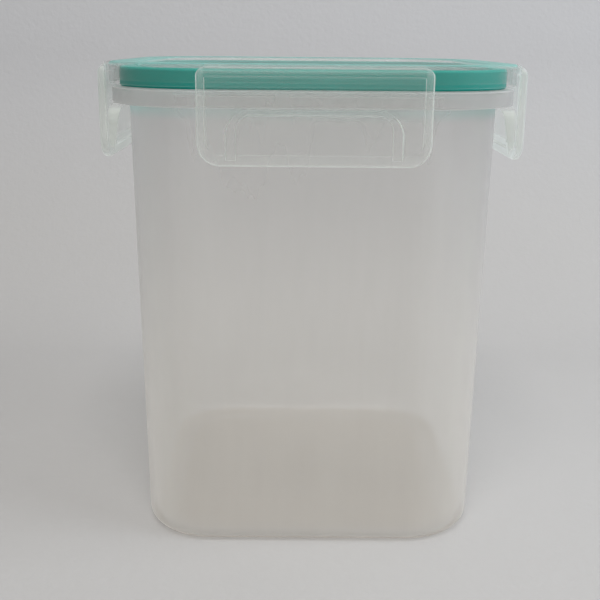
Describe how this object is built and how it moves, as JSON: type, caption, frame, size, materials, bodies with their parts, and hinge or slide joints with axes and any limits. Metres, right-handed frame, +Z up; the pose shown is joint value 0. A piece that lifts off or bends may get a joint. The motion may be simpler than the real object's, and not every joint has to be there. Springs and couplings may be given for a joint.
{
  "type": "food canister",
  "caption": "Square tall food canister: translucent tapered tub, clip-down lid with hinged locking flaps and a soft sealing gasket in the lid.",
  "frame": {"origin": "centre of the tub's foot, on the table plane", "axes": "+Z up through the lid, -Y towards the front flap, +X towards the right flap"},
  "size_m": [0.1704, 0.1704, 0.195],
  "materials": {
    "tub_plastic": "milky translucent polypropylene, softly satin",
    "lid_plastic": "clearer, slightly frosted polypropylene",
    "gasket_silicone": "teal silicone, matt"
  },
  "bodies": {
    "tub": {"tub": "tub_plastic"},
    "lid": {"lid": "lid_plastic", "gasket": "gasket_silicone", "front_hinge_film": "lid_plastic", "right_hinge_film": "lid_plastic", "back_hinge_film": "lid_plastic", "left_hinge_film": "lid_plastic"},
    "front_flap": {"front_flap": "lid_plastic"},
    "right_flap": {"right_flap": "lid_plastic"},
    "back_flap": {"back_flap": "lid_plastic"},
    "left_flap": {"left_flap": "lid_plastic"}
  },
  "joints": [
    {"name": "lid_lift", "type": "slide", "parent": "tub", "child": "lid", "axis": [0, 0, 1], "range_m": [0, 0.072]},
    {"name": "front_flap_hinge", "type": "hinge", "parent": "lid", "child": "front_flap", "pos_m": [0, -0.0824, 0.1946], "axis": [-1, 0, 0], "range_deg": [0, 175]},
    {"name": "right_flap_hinge", "type": "hinge", "parent": "lid", "child": "right_flap", "pos_m": [0.0824, 0, 0.1946], "axis": [0, -1, 0], "range_deg": [0, 175]},
    {"name": "back_flap_hinge", "type": "hinge", "parent": "lid", "child": "back_flap", "pos_m": [0, 0.0824, 0.1946], "axis": [1, 0, 0], "range_deg": [0, 175]},
    {"name": "left_flap_hinge", "type": "hinge", "parent": "lid", "child": "left_flap", "pos_m": [-0.0824, 0, 0.1946], "axis": [0, 1, 0], "range_deg": [0, 175]}
  ]
}
